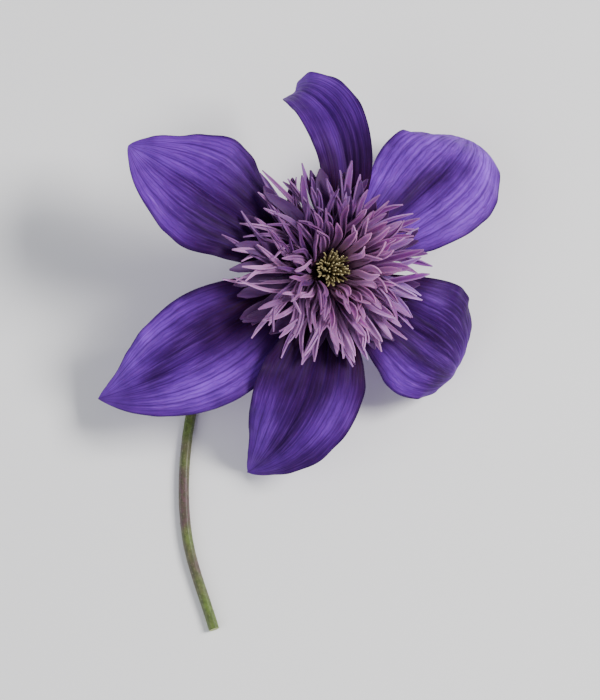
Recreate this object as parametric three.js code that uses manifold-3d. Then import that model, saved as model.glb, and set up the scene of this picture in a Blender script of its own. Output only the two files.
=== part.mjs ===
// A cut clematis flower, lying face up: six drooping sepals, a tuft of narrow petal-like staminodes,
// a knot of pistils, and a receptacle on a bent stalk. It lies on the stalk and on three sepals' edges.
// Millimetres, +Z up. The origin is the middle of the flower's outline, on the surface it lies on.
import * as THREE from "three";
import { mergeVertices } from "three/addons/utils/BufferGeometryUtils.js";
import Module from "manifold-3d";

const wasm = await Module();
wasm.setup();

const { degToRad, lerp, smoothstep } = THREE.MathUtils;
const goldenAngle = 180 * (3 - Math.sqrt(5)); // degrees from one blade to the next in growing order

// The head's middle stands over this place, at this height, and leans to the right and front.
const head = { x: 4, y: 11.8, height: 16, leanRight: 12, leanFront: 11 };

// What all sepals share.
const sepalForm = {
  thickness: 0.7,
  rows: 18,
  columns: 8,
  substeps: 12, // steps of the midrib's course for each row
  bladeShare: 0.985, // the blade ends this far along, so that its tip is a short edge
  clawShare: 0.34, // the foot's width for each mm of the sepal's
  clawFade: 4,
  tipPinch: 0.3, // how much the outline narrows over its last stretch
  tipPinchPower: 7,
  crowding: 6, // how sharply the free width gives way to the room beside the next foot
  lobeRise: 0.1, // how far each half of a blade swells, for each mm of its half width
  lobeRounding: 0.004, // rounds the groove over the midrib
  fadePower: 0.9, // where along the blade its lobes and waves are highest
  waveCount: 2.6, // waves along a margin
  waveOffset: 1.9, // radians that one margin's waves run ahead, and the other's behind
  marginPower: 2.2, // keeps the waves to the margins
  settlePasses: 6,
};

// Each sepal. Angles are in degrees, seen from above, from +X: seat is the foot's, heading the midrib's,
// and turn its swing by the tip. depth is the foot's, under the receptacle's top, and claw the most half
// width for each mm from the axis. Pitch is over the receptacle's plane. Roll and cup across the blade
// ease in between two shares of the length.
const sepals = [
  {
    name: "sepal_upper_left", rests: false, seat: 160, seatRadius: 3.4, depth: 1.2, claw: 0.5,
    heading: 149.5, turn: -12, turnPower: 2, footPitch: 25, tipPitch: -66, droop: 1.9,
    length: 38.6, width: 21.2, shoulder: 0.88, bluntness: 0.92, wave: 0.9, wavePhase: 0.3,
    easeFrom: 0, easeTo: 0.3, footRoll: 14, tipRoll: 3, footCup: 6, tipCup: 15,
  },
  {
    name: "sepal_top", rests: false, seat: 86, seatRadius: 3.7, depth: 1.2, claw: 0.28,
    heading: 66.6, turn: 98, turnPower: 1.23, footPitch: 31, tipPitch: -122, droop: 1.97,
    length: 39.6, width: 10.8, shoulder: 1.06, bluntness: 0.67, wave: 0.3, wavePhase: 1.3,
    easeFrom: 0.12, easeTo: 0.5, footRoll: -45, tipRoll: 21, footCup: 60, tipCup: 20,
  },
  {
    name: "sepal_upper_right", rests: true, seat: 29, seatRadius: 3.4, depth: 1.6, claw: 0.52,
    heading: 40, turn: 12, turnPower: 2, footPitch: 22, tipPitch: -86, droop: 1.38,
    length: 41.8, width: 21.8, shoulder: 0.89, bluntness: 0.61, wave: 0.7, wavePhase: 2.2,
    easeFrom: 0, easeTo: 0.3, footRoll: -3, tipRoll: -20, footCup: 11, tipCup: -33,
  },
  {
    name: "sepal_lower_right", rests: true, seat: 327, seatRadius: 3.4, depth: 2.6, claw: 0.58,
    heading: -32, turn: -2.5, turnPower: 2, footPitch: 23, tipPitch: -86, droop: 1.74,
    length: 31, width: 22.2, shoulder: 0.98, bluntness: 0.76, wave: 0.7, wavePhase: 4,
    easeFrom: 0, easeTo: 0.3, footRoll: 15, tipRoll: -6.5, footCup: 18, tipCup: -21.5,
  },
  {
    name: "sepal_bottom", rests: true, seat: 270, seatRadius: 3.4, depth: 1.2, claw: 0.58,
    heading: -97.5, turn: -46, turnPower: 1.85, footPitch: 21, tipPitch: -77, droop: 1.4,
    length: 37.8, width: 18.7, shoulder: 0.77, bluntness: 1.07, wave: 0.8, wavePhase: 0.9,
    easeFrom: 0, easeTo: 0.3, footRoll: -11, tipRoll: 6, footCup: 27, tipCup: 15,
  },
  {
    name: "sepal_lower_left", rests: false, seat: 207, seatRadius: 3.4, depth: 2.6, claw: 0.58,
    heading: -143.3, turn: -22, turnPower: 1.96, footPitch: 16, tipPitch: -64.8, droop: 1.33,
    length: 42.6, width: 19.1, shoulder: 0.83, bluntness: 0.97, wave: 0.9, wavePhase: 5.2,
    easeFrom: 0, easeTo: 0.3, footRoll: -6.5, tipRoll: 14, footCup: 20.3, tipCup: 10.4,
  },
];

// Staminodes: narrow blades from a ring, the outermost spreading low and the innermost curling in.
// Where two values stand, they are the outermost blade's and the innermost one's. The plays are the
// most that a draw adds or takes away.
const staminodes = {
  count: 84,
  thickness: 0.62,
  segments: 4,
  reach: [15.8, 5],
  rise: 10.5, // the dome that the tips follow
  lift: 1.2,
  rootRadius: [3.6, 3.1],
  rootHeight: [1.6, 2.8],
  elbowOut: 0.55, // where an outer blade bends over, as a share of its reach
  elbowUp: 0.75,
  elbowLift: 1.2,
  innerElbowOut: 1.6,
  innerElbowUp: 0.6,
  rootWidth: 0.8,
  width: 1.7,
  tipWidth: 0.6,
  widest: 0.55,
  azimuthPlay: 4,
  reachPlay: 0.5,
  heightPlay: 0.6,
  swingPlay: 0.12,
  twistPlay: 0.6,
};
const core = { inner: 2.2, outer: 4.6, bottom: 0.3, top: 3.6, bevel: 1.6, crown: 1.2, sides: 24 };

// Pistils: thin styles on a small dome in the middle of the ring.
const pistils = {
  count: 14,
  domeRadius: 1.9,
  bottom: 0.3,
  domeHeight: 2.2,
  height: 6.8,
  spread: 2.7,
  rootWidth: 0.75,
  tipWidth: 0.6,
  thickness: 0.62,
  segments: 3,
};

// The receptacle under the flower, and the stalk's course from it. Of a course's points without a
// height the stalk lies on the surface.
const receptacle = { radius: 3, rim: 0.35, depth: 2.9, taperDepth: 6.6, sides: 20 };
const stalk = { radius: 0.95, sides: 8, steps: 48 };
const stalkCourse = [
  [-0.5, 13.3, 4.6], [-5.7, 11.6, 1.5], [-11.3, 7.2], [-15.7, -0.4],
  [-18.5, -13.4], [-18.3, -28.4], [-13.8, -44],
];

const colours = {
  sepal: 0x54388c, staminode: 0x784f80, pistil: 0x665c33, stalk: 0x5c663b,
};

function material(colour, roughness) {
  return new THREE.MeshStandardMaterial({ color: colour, roughness, metalness: 0, side: THREE.DoubleSide });
}

function named(geometry, look, name) {
  const mesh = new THREE.Mesh(geometry, look);
  mesh.name = name;
  return mesh;
}

// A repeatable draw from -1 to 1 for piece number k; each salt gives another run of draws.
function scatter(k, salt) {
  const wide = Math.sin(k * 12.9898 + salt * 78.233) * 43758.5453;
  return 2 * (wide - Math.floor(wide)) - 1;
}

// A point at this distance from the axis and height, on the plane of an azimuth in radians.
function polar(azimuth, radius, height) {
  return new THREE.Vector3(radius * Math.cos(azimuth), radius * Math.sin(azimuth), height);
}

function headMatrix() {
  const lean = new THREE.Euler(degToRad(head.leanFront), degToRad(head.leanRight), 0, "XYZ");
  return new THREE.Matrix4().makeRotationFromEuler(lean).setPosition(head.x, head.y, head.height);
}

// Pitch and heading of a sepal's midrib at share s of its length, in radians.
function sepalCourse(sepal, s) {
  return {
    pitch: degToRad(lerp(sepal.footPitch, sepal.tipPitch, s ** sepal.droop)),
    heading: degToRad(sepal.heading + sepal.turn * s ** sepal.turnPower),
  };
}

function along({ pitch, heading }) {
  const flat = Math.cos(pitch);
  return new THREE.Vector3(flat * Math.cos(heading), flat * Math.sin(heading), Math.sin(pitch));
}

// The midrib's stations from foot to tip, in the head's own frame.
function midrib(sepal) {
  const { rows, substeps, bladeShare } = sepalForm;
  const at = polar(degToRad(sepal.seat), sepal.seatRadius, -sepal.depth);
  const stride = bladeShare / (rows * substeps);
  const stations = [];
  for (let i = 0; i <= rows * substeps; i++) {
    const s = i * stride;
    if (i % substeps === 0) stations.push({ s, point: at.clone(), ...sepalCourse(sepal, s) });
    at.addScaledVector(along(sepalCourse(sepal, s + stride / 2)), sepal.length * stride);
  }
  return stations;
}

// Half the blade's width at a distance from the head's axis: a narrow claw, a broad middle, a pointed tip.
function halfWidth(sepal, s, radius) {
  const { clawShare, clawFade, tipPinch, tipPinchPower, crowding } = sepalForm;
  const claw = clawShare * (1 - s) ** clawFade;
  const pinch = 1 - tipPinch * s ** tipPinchPower;
  const blade = Math.sin(Math.PI * s ** sepal.shoulder) ** sepal.bluntness * pinch;
  const free = 0.5 * sepal.width * (claw + blade);
  const room = sepal.claw * radius;
  return (free ** -crowding + room ** -crowding) ** (-1 / crowding);
}

// A point of the blade's middle surface at a station, q from -1 at the right margin to 1 at the left.
function bladePoint(sepal, station, q) {
  const { lobeRise, lobeRounding, fadePower, waveCount, waveOffset, marginPower } = sepalForm;
  const { s, point, heading } = station;
  const tangent = along(station);
  const ease = smoothstep(s, sepal.easeFrom, sepal.easeTo);
  const roll = degToRad(lerp(sepal.footRoll, sepal.tipRoll, s)) * ease;
  const cup = degToRad(lerp(sepal.footCup, sepal.tipCup, s)) * ease || 1e-4;
  const side = new THREE.Vector3(-Math.sin(heading), Math.cos(heading), 0).applyAxisAngle(tangent, roll);
  const normal = tangent.clone().cross(side);
  const half = halfWidth(sepal, s, Math.hypot(point.x, point.y));
  const fade = Math.sin(Math.PI * s ** fadePower);
  const lobe = lobeRise * half * Math.sin(Math.PI * Math.sqrt(q * q + lobeRounding)) * fade;
  const phase = 2 * Math.PI * waveCount * s + sepal.wavePhase + waveOffset * Math.sign(q);
  const wave = sepal.wave * fade * Math.abs(q) ** marginPower * Math.sin(phase);
  const across = (half * Math.sin(q * cup)) / cup;
  const up = (half * (1 - Math.cos(q * cup))) / cup + lobe + wave;
  return point.clone().addScaledVector(side, across).addScaledVector(normal, up);
}

// Lowers or lifts a blade more and more towards its tip, until its lowest point is on the surface.
function settle(faces, stations) {
  for (let pass = 0; pass < sepalForm.settlePasses; pass++) {
    const low = Math.min(...faces.flat(2).map((p) => p.z));
    for (const face of faces) face.forEach((row, i) => row.forEach((p) => (p.z -= low * stations[i].s ** 2)));
  }
}

// A blade between two like grids of points, closed by a wall round its margin.
function bladeSolid([top, bottom]) {
  const rows = top.length;
  const columns = top[0].length;
  const corners = [...top.flat(), ...bottom.flat()];
  const upper = (i, j) => i * columns + j;
  const lower = (i, j) => rows * columns + upper(i, j);
  const faces = [];
  for (let i = 0; i + 1 < rows; i++) {
    for (let j = 0; j + 1 < columns; j++) {
      faces.push(upper(i, j), upper(i + 1, j), upper(i + 1, j + 1));
      faces.push(upper(i, j), upper(i + 1, j + 1), upper(i, j + 1));
      faces.push(lower(i, j), lower(i + 1, j + 1), lower(i + 1, j));
      faces.push(lower(i, j), lower(i, j + 1), lower(i + 1, j + 1));
    }
  }
  const margin = [];
  for (let i = 0; i < rows; i++) margin.push([i, 0]);
  for (let j = 1; j < columns; j++) margin.push([rows - 1, j]);
  for (let i = rows - 2; i >= 0; i--) margin.push([i, columns - 1]);
  for (let j = columns - 2; j > 0; j--) margin.push([0, j]);
  margin.forEach((here, k) => {
    const next = margin[(k + 1) % margin.length];
    faces.push(upper(...here), lower(...here), lower(...next));
    faces.push(upper(...here), lower(...next), upper(...next));
  });
  const geometry = new THREE.BufferGeometry().setFromPoints(corners);
  geometry.setIndex(faces);
  geometry.computeVertexNormals();
  return geometry;
}

// The way a grid of points faces at row i, column j.
function gridNormal(grid, i, j) {
  const rows = grid.length - 1;
  const columns = grid[0].length - 1;
  const forward = grid[Math.min(i + 1, rows)][j].clone().sub(grid[Math.max(i - 1, 0)][j]);
  const sideways = grid[i][Math.min(j + 1, columns)].clone().sub(grid[i][Math.max(j - 1, 0)]);
  return forward.cross(sideways).normalize();
}

function sepalMesh(sepal) {
  const { thickness, columns } = sepalForm;
  const stations = midrib(sepal);
  const place = headMatrix();
  const shares = Array.from({ length: columns + 1 }, (_, j) => (2 * j) / columns - 1);
  const middle = stations.map((at) => shares.map((q) => bladePoint(sepal, at, q).applyMatrix4(place)));
  const face = (offset) =>
    middle.map((row, i) => row.map((p, j) => p.clone().addScaledVector(gridNormal(middle, i, j), offset)));
  const faces = [face(thickness / 2), face(-thickness / 2)];
  if (sepal.rests) settle(faces, stations);
  return named(bladeSolid(faces), material(colours.sepal, 0.55), sepal.name);
}

// A manifold-3d solid of a closed geometry, and a geometry of such a solid.
function solidOf(geometry) {
  const bare = geometry.clone();
  bare.deleteAttribute("normal");
  bare.deleteAttribute("uv");
  const merged = mergeVertices(bare, 1e-4);
  const vertProperties = merged.getAttribute("position").array;
  const triVerts = new Uint32Array(merged.index.array);
  return new wasm.Manifold(new wasm.Mesh({ numProp: 3, vertProperties, triVerts }));
}

function geometryOf(solid) {
  const { vertProperties, triVerts } = solid.getMesh();
  const geometry = new THREE.BufferGeometry();
  geometry.setAttribute("position", new THREE.BufferAttribute(vertProperties, 3));
  geometry.setIndex(new THREE.BufferAttribute(triVerts, 1));
  return geometry;
}

function fuse(geometries) {
  return geometryOf(geometries.map(solidOf).reduce((whole, piece) => whole.add(piece)));
}

// A solid turned round the Z axis from a profile of radius and height.
function turned(profile, sides) {
  const points = profile.map(([radius, height]) => new THREE.Vector2(radius, height));
  return new THREE.LatheGeometry(points, sides).rotateX(Math.PI / 2);
}

// A four-sided blade along a curve; widthAt gives its width at share t, and twist turns it by its tip.
function strap(curve, side, widthAt, thickness, twist, segments) {
  const corners = [];
  for (let i = 0; i <= segments; i++) {
    const t = i / segments;
    const tangent = curve.getTangent(t);
    const across = side.clone().applyAxisAngle(tangent, twist * t);
    const out = tangent.clone().cross(across).normalize();
    const half = widthAt(t) / 2;
    for (const [a, b] of [[-1, -1], [1, -1], [1, 1], [-1, 1]]) {
      const corner = curve.getPoint(t).addScaledVector(across, a * half);
      corners.push(corner.addScaledVector(out, (b * thickness) / 2));
    }
  }
  const faces = [0, 2, 1, 0, 3, 2];
  for (let i = 0; i < segments; i++) {
    for (let j = 0; j < 4; j++) {
      const [a, b] = [4 * i + j, 4 * i + ((j + 1) % 4)];
      faces.push(a, b, b + 4, a, b + 4, a + 4);
    }
  }
  const end = 4 * segments;
  faces.push(end, end + 1, end + 2, end, end + 2, end + 3);
  const geometry = new THREE.BufferGeometry().setFromPoints(corners);
  geometry.setIndex(faces);
  return geometry;
}

// Staminode number k of the growing order, which runs from the outermost blade to the innermost.
function staminode(k) {
  const form = staminodes;
  const rank = k / (form.count - 1);
  const azimuth = degToRad(k * goldenAngle + form.azimuthPlay * scatter(k, 1));
  const [outermost, innermost] = form.reach;
  const tipRadius = Math.sqrt(lerp(outermost ** 2, innermost ** 2, rank)) + form.reachPlay * scatter(k, 2);
  const dome = form.rise * Math.sqrt(1 - (tipRadius / (outermost + 1)) ** 2);
  const tipHeight = dome + form.lift + form.heightPlay * scatter(k, 3);
  const elbowRadius = lerp(form.elbowOut * tipRadius, tipRadius + form.innerElbowOut, rank);
  const elbowHeight = lerp(form.elbowUp * tipHeight + form.elbowLift, form.innerElbowUp * tipHeight, rank);
  const curve = new THREE.QuadraticBezierCurve3(
    polar(azimuth, lerp(...form.rootRadius, rank), lerp(...form.rootHeight, rank)),
    polar(azimuth, elbowRadius, elbowHeight),
    polar(azimuth + form.swingPlay * scatter(k, 4), tipRadius, tipHeight),
  );
  const widthAt = (t) =>
    t < form.widest
      ? lerp(form.rootWidth, form.width, t / form.widest)
      : lerp(form.width, form.tipWidth, (t - form.widest) / (1 - form.widest));
  const side = polar(azimuth + Math.PI / 2, 1, 0);
  return strap(curve, side, widthAt, form.thickness, form.twistPlay * scatter(k, 5), form.segments);
}

// The low ring that the staminodes' roots sink into.
function coreRing() {
  const { inner, outer, bottom, top, bevel, crown, sides } = core;
  const profile = [
    [inner, bottom],
    [outer - bevel, bottom],
    [outer, bottom + bevel],
    [outer - 0.25 * crown, top - 0.75 * crown],
    [outer - crown, top],
    [inner, top - 0.4 * crown],
    [inner, bottom],
  ];
  return turned(profile, sides);
}

function staminodeMesh() {
  const blades = Array.from({ length: staminodes.count }, (_, k) => staminode(k));
  return named(fuse([coreRing(), ...blades]), material(colours.staminode, 0.6), "staminodes");
}

function pistilDome() {
  const { domeRadius, bottom, domeHeight } = pistils;
  const top = bottom + domeHeight;
  return turned([[0, bottom], [domeRadius, bottom], [domeRadius, top - 1.2], [1.1, top - 0.3], [0, top]], 12);
}

// Style number k of the growing order, which runs from the middle outwards.
function style(k) {
  const { count, domeRadius, bottom, height, spread, rootWidth, tipWidth, thickness, segments } = pistils;
  const azimuth = degToRad(k * goldenAngle);
  const share = Math.sqrt((k + 0.5) / count);
  const curve = new THREE.QuadraticBezierCurve3(
    polar(azimuth, 0.7 * domeRadius * share, bottom + 0.6),
    polar(azimuth, 0.8 * domeRadius * share, bottom + 0.6 * height),
    polar(azimuth, spread * share, bottom + height * (1 - 0.12 * share)),
  );
  const side = polar(azimuth + Math.PI / 2, 1, 0);
  return strap(curve, side, (t) => lerp(rootWidth, tipWidth, t), thickness, 0, segments);
}

function pistilMesh() {
  const styles = Array.from({ length: pistils.count }, (_, k) => style(k));
  return named(fuse([pistilDome(), ...styles]), material(colours.pistil, 0.6), "pistils");
}

// The stalk's middle line. It leaves the receptacle along the head's axis, bends over and lies level,
// and its section is kept level all the way, so that a flat of the octagon is on the surface.
class StalkCurve extends THREE.CatmullRomCurve3 {
  getPoint(t, target) {
    const point = super.getPoint(t, target);
    point.z = Math.max(point.z, lyingHeight());
    return point;
  }

  computeFrenetFrames(segments) {
    const frames = { tangents: [], normals: [], binormals: [] };
    const up = new THREE.Vector3(0, 0, 1);
    for (let i = 0; i <= segments; i++) {
      const tangent = this.getTangentAt(i / segments);
      const normal = tangent.clone().cross(up).normalize();
      frames.tangents.push(tangent);
      frames.normals.push(normal);
      frames.binormals.push(tangent.clone().cross(normal));
    }
    return frames;
  }
}

// How high the stalk's middle line is where the stalk lies on the surface.
function lyingHeight() {
  return stalk.radius * Math.cos(Math.PI / stalk.sides);
}

function stalkRod() {
  const place = headMatrix();
  const inReceptacle = [-receptacle.depth - 1, -receptacle.taperDepth];
  const upright = inReceptacle.map((height) => new THREE.Vector3(0, 0, height).applyMatrix4(place));
  const bent = stalkCourse.map(([x, y, z = lyingHeight()]) => new THREE.Vector3(x, y, z));
  const section = new THREE.Shape();
  for (let j = 0; j < stalk.sides; j++) {
    const angle = (2 * Math.PI * (j + 0.5)) / stalk.sides;
    section[j ? "lineTo" : "moveTo"](stalk.radius * Math.cos(angle), stalk.radius * Math.sin(angle));
  }
  section.closePath();
  const extrudePath = new StalkCurve([...upright, ...bent]);
  return new THREE.ExtrudeGeometry(section, { steps: stalk.steps, extrudePath });
}

// The receptacle: a shallow cup under the sepals' feet, tapering down into the stalk.
function receptacleCup() {
  const { radius, rim, depth, taperDepth, sides } = receptacle;
  const profile = [
    [0, -taperDepth],
    [stalk.radius, -taperDepth],
    [1.3, -taperDepth + 1.2],
    [2.2, -depth - 1],
    [radius - 0.15, -depth],
    [radius, -rim],
    [radius - rim, 0],
    [0, 0],
  ];
  return turned(profile, sides).applyMatrix4(headMatrix());
}

function peduncleMesh() {
  return named(fuse([receptacleCup(), stalkRod()]), material(colours.stalk, 0.6), "peduncle");
}

const bloom = new THREE.Group();
bloom.applyMatrix4(headMatrix());
bloom.add(staminodeMesh(), pistilMesh());

const group = new THREE.Group();
group.add(...sepals.map(sepalMesh), bloom, peduncleMesh());

export default group;
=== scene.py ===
import math

import bpy
from mathutils import Matrix, Vector, noise


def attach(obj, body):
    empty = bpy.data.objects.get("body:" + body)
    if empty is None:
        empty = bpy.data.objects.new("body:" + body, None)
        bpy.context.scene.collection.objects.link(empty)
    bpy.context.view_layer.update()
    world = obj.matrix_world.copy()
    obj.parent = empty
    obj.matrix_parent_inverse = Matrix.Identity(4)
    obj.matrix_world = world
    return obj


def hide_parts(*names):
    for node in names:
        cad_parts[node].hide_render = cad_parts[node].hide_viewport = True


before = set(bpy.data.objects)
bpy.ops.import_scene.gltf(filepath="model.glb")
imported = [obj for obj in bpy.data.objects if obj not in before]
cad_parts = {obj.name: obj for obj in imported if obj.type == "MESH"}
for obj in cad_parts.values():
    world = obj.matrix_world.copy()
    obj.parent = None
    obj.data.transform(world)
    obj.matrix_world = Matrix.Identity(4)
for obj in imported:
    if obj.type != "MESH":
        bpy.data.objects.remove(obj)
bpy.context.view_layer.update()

mm = 0.001
goldenAngle = math.pi * (3 - math.sqrt(5))
near = 0.01  # how far off its row a vertex of a model may be

# The head's middle stands over this place, at this height in mm, and leans to the right and front.
head = {"x": 4, "y": 11.8, "height": 16, "leanRight": 12, "leanFront": 11}


# Small helpers

def lerp(low, high, share):
    return low + (high - low) * share


def smoothstep(value, low, high):
    share = min(max((value - low) / (high - low), 0), 1)
    return share * share * (3 - 2 * share)


def bump(distance, width):  # 1 at no distance, fading over the width
    return math.exp(-((distance / width) ** 2))


def scatter(k, salt):  # a repeatable draw from -1 to 1 for piece number k
    wide = math.sin(k * 12.9898 + salt * 78.233) * 43758.5453
    return 2 * (wide - math.floor(wide)) - 1


def polar(azimuth, radius, height):
    return Vector((radius * math.cos(azimuth), radius * math.sin(azimuth), height))


def bezier(ends, t):  # a curve from the first point to the last, drawn towards the middle one
    a, b, c = ends
    point = a * (1 - t) ** 2 + b * 2 * t * (1 - t) + c * t * t
    tangent = (b - a) * (1 - t) + (c - b) * t
    return point, tangent.normalized()


headMatrix = (
    Matrix.Translation((head["x"], head["y"], head["height"]))
    @ Matrix.Rotation(math.radians(head["leanFront"]), 4, "X")
    @ Matrix.Rotation(math.radians(head["leanRight"]), 4, "Y")
)


def deselectAll():
    bpy.ops.object.select_all(action="DESELECT")


def setMode(mode):
    bpy.ops.object.mode_set(mode=mode)


def makeActive(piece):
    deselectAll()
    piece.select_set(True)
    bpy.context.view_layer.objects.active = piece


def pickVertices(piece, wanted):  # leaves the piece in edit mode
    setMode("EDIT")
    bpy.ops.mesh.select_mode(type="VERT")
    bpy.ops.mesh.select_all(action="DESELECT")
    setMode("OBJECT")
    for vertex in piece.data.vertices:
        vertex.select = wanted(vertex.co)
    setMode("EDIT")


def copyOf(model):
    piece = model.copy()
    piece.data = model.data.copy()
    bpy.context.collection.objects.link(piece)
    return piece


def setAttribute(piece, name, values):
    attribute = piece.data.attributes.new(name, "FLOAT", "POINT")
    attribute.data.foreach_set("value", values)


def applyModifier(piece, kind, **settings):
    makeActive(piece)
    modifier = piece.modifiers.new(kind.lower(), kind)
    for key, value in settings.items():
        setattr(modifier, key, value)
    bpy.ops.object.modifier_apply(modifier=modifier.name)


def joinPieces(pieces, name):
    deselectAll()
    for piece in pieces:
        piece.select_set(True)
    bpy.context.view_layer.objects.active = pieces[0]
    bpy.ops.object.join()
    pieces[0].name = pieces[0].data.name = name
    return pieces[0]


def finishPiece(piece, node, angle=60):
    makeActive(piece)
    bpy.ops.object.shade_smooth_by_angle(angle=math.radians(angle))
    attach(piece, "root")
    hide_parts(node)


# Camera and light

view = {
    "elevation": 75,  # degrees; it looks along +Y and down on the flower's face
    "lens": 250,
    "sensor": 36,
    "tall": 113,  # mm that the picture takes in from top to bottom
    "aim": (0, 0, 11),
}
lights = {
    "key": {"place": (490, 50, 550), "size": 260, "power": 7.8, "tint": (1, 0.98, 0.95)},
    "fill": {"place": (-480, -320, 520), "size": 600, "power": 2.6, "tint": (0.92, 0.95, 1)},
}
surround = {"tint": (0.95, 0.96, 1, 1), "strength": 0.42}


def addCamera():
    rise = math.radians(view["elevation"])
    distance = view["tall"] * view["lens"] / view["sensor"]
    aim = Vector(view["aim"])
    place = aim + distance * Vector((0, -math.cos(rise), math.sin(rise)))
    bpy.ops.object.camera_add(location=place * mm, rotation=(math.pi / 2 - rise, 0, 0))
    camera = bpy.context.object
    camera.data.lens = view["lens"]
    camera.data.sensor_fit = "VERTICAL"
    camera.data.sensor_height = view["sensor"]
    camera.data.dof.use_dof = False
    bpy.context.scene.camera = camera


def addLights():
    for name, light in lights.items():
        place = Vector(light["place"])
        turn = (Vector(view["aim"]) - place).to_track_quat("-Z", "Y").to_euler()
        bpy.ops.object.light_add(type="AREA", location=place * mm, rotation=turn)
        lamp = bpy.context.object
        lamp.name = name
        lamp.data.size = light["size"] * mm
        lamp.data.energy = light["power"]
        lamp.data.color = light["tint"]
    world = bpy.data.worlds.new("softRoom")
    world.use_nodes = True
    background = world.node_tree.nodes["Background"]
    background.inputs["Color"].default_value = surround["tint"]
    background.inputs["Strength"].default_value = surround["strength"]
    bpy.context.scene.world = world


addCamera()
addLights()
print("camera and lights are in place")


# Materials

def hexColour(text):
    parts = [int(text[i : i + 2], 16) / 255 for i in (1, 3, 5)]
    return [((c + 0.055) / 1.055) ** 2.4 if c > 0.04045 else c / 12.92 for c in parts] + [1]


def newMaterial(name, roughness, gloss=0.3, sheen=0.0, sheenTint=(1, 1, 1), subsurface=0.0, depth=0.8):
    material = bpy.data.materials.new(name)
    material.use_nodes = True
    shader = material.node_tree.nodes["Principled BSDF"]
    shader.inputs["Roughness"].default_value = roughness
    shader.inputs["Specular IOR Level"].default_value = gloss
    shader.inputs["Sheen Weight"].default_value = sheen
    shader.inputs["Sheen Tint"].default_value = (*sheenTint, 1)
    shader.inputs["Subsurface Weight"].default_value = subsurface
    shader.inputs["Subsurface Scale"].default_value = depth * mm
    return material, material.node_tree, shader


def addNode(tree, kind, sockets=None, **settings):
    made = tree.nodes.new("ShaderNode" + kind)
    for key, value in settings.items():
        setattr(made, key, value)
    for key, value in (sockets or {}).items():
        if isinstance(value, bpy.types.NodeSocket):
            tree.links.new(value, made.inputs[key])
        else:
            made.inputs[key].default_value = value
    return made


def attributeOf(tree, name):
    return addNode(tree, "Attribute", attribute_name=name, attribute_type="GEOMETRY").outputs["Fac"]


def maths(tree, operation, a, b=0.0, c=0.0):
    return addNode(tree, "Math", {0: a, 1: b, 2: c}, operation=operation).outputs[0]


def ramp(tree, factor, stops):  # stops are (place, colour or grey from 0 to 1)
    made = addNode(tree, "ValToRGB", {0: factor})
    elements = made.color_ramp.elements
    for i, (place, colour) in enumerate(stops):
        element = elements[i] if i < len(elements) else elements.new(place)
        element.position = place
        element.color = hexColour(colour) if isinstance(colour, str) else (colour, colour, colour, 1)
    return made.outputs[0]


def blend(tree, factor, low, high, mode="MIX"):
    low, high = (hexColour(colour) if isinstance(colour, str) else colour for colour in (low, high))
    made = addNode(tree, "Mix", {0: factor, 6: low, 7: high}, data_type="RGBA", blend_type=mode)
    return made.outputs[2]


def noiseOf(tree, vector, scale, detail=2.0, roughness=0.5):
    sockets = {"Vector": vector, "Scale": scale, "Detail": detail, "Roughness": roughness}
    return addNode(tree, "TexNoise", sockets).outputs[0]


def grainOf(tree, scale, detail):  # noise through the piece
    return noiseOf(tree, addNode(tree, "TexCoord").outputs["Object"], scale, detail)


def drawnNoise(tree, ways, scale, detail, roughness=0.5):  # ways are three sockets, and how dense along each
    dense = {i: maths(tree, "MULTIPLY", way, times) for i, (way, times) in enumerate(ways)}
    return noiseOf(tree, addNode(tree, "CombineXYZ", dense).outputs[0], scale, detail, roughness)


def addBump(tree, shader, height, strength, depth):
    normal = addNode(tree, "Bump", {"Strength": strength, "Distance": depth * mm, "Height": height})
    tree.links.new(normal.outputs[0], shader.inputs["Normal"])


# Sepals

sepalForm = {
    "thickness": 0.36,
    "marginThickness": 0.5,  # of that, at the margin
    "rows": 96,
    "columns": 54,
    "substeps": 4,
    "footShare": -0.03,  # the foot runs in to the receptacle
    "bladeShare": 0.997,
    "clawShare": 0.34,
    "clawFade": 4,
    "tipPinch": 0.3,
    "tipPinchPower": 7,
    "crowding": 6,
    "lobeRise": 0.1,
    "lobeRounding": 0.004,
    "thinFrom": (0.6, 0.9),  # shares of the half width and of the length from which the blade thins
    "fadePower": 0.9,
    "waveCount": 2.6,
    "waveOffset": 1.9,
    "marginPower": 2.2,
    "settlePasses": 6,
    # grooves over the veins: place as a share of the half width, depth and width in mm
    "grooves": [(0, 0.36, 0.42), (0.24, 0.26, 0.38), (0.47, 0.17, 0.4), (0.69, 0.11, 0.4)],
    "pucker": 0.24,
    "puckerSpan": (3.0, 5.5),  # mm across and along
    "crinkle": 0.09,
    "crinkleSpan": (1.1, 2.0),
    "crinkleSeed": 7,
    "ruffle": 0.34,
    "ruffleCount": 7.3,
    "rufflePower": 5,  # keeps the ruffles to the margins
    "ruffleWander": 0.4,  # turns by which the ruffles are uneven
    "ruffleWanderSpan": 6,
    "ruffleWanderSide": 3,  # sets the two margins' noise apart
    # the relief comes in over the first span of the length and partly goes over the second
    "reliefIn": (0.08, 0.25),
    "reliefOut": (0.85, 1),
    "reliefLoss": 0.7,
}

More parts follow.
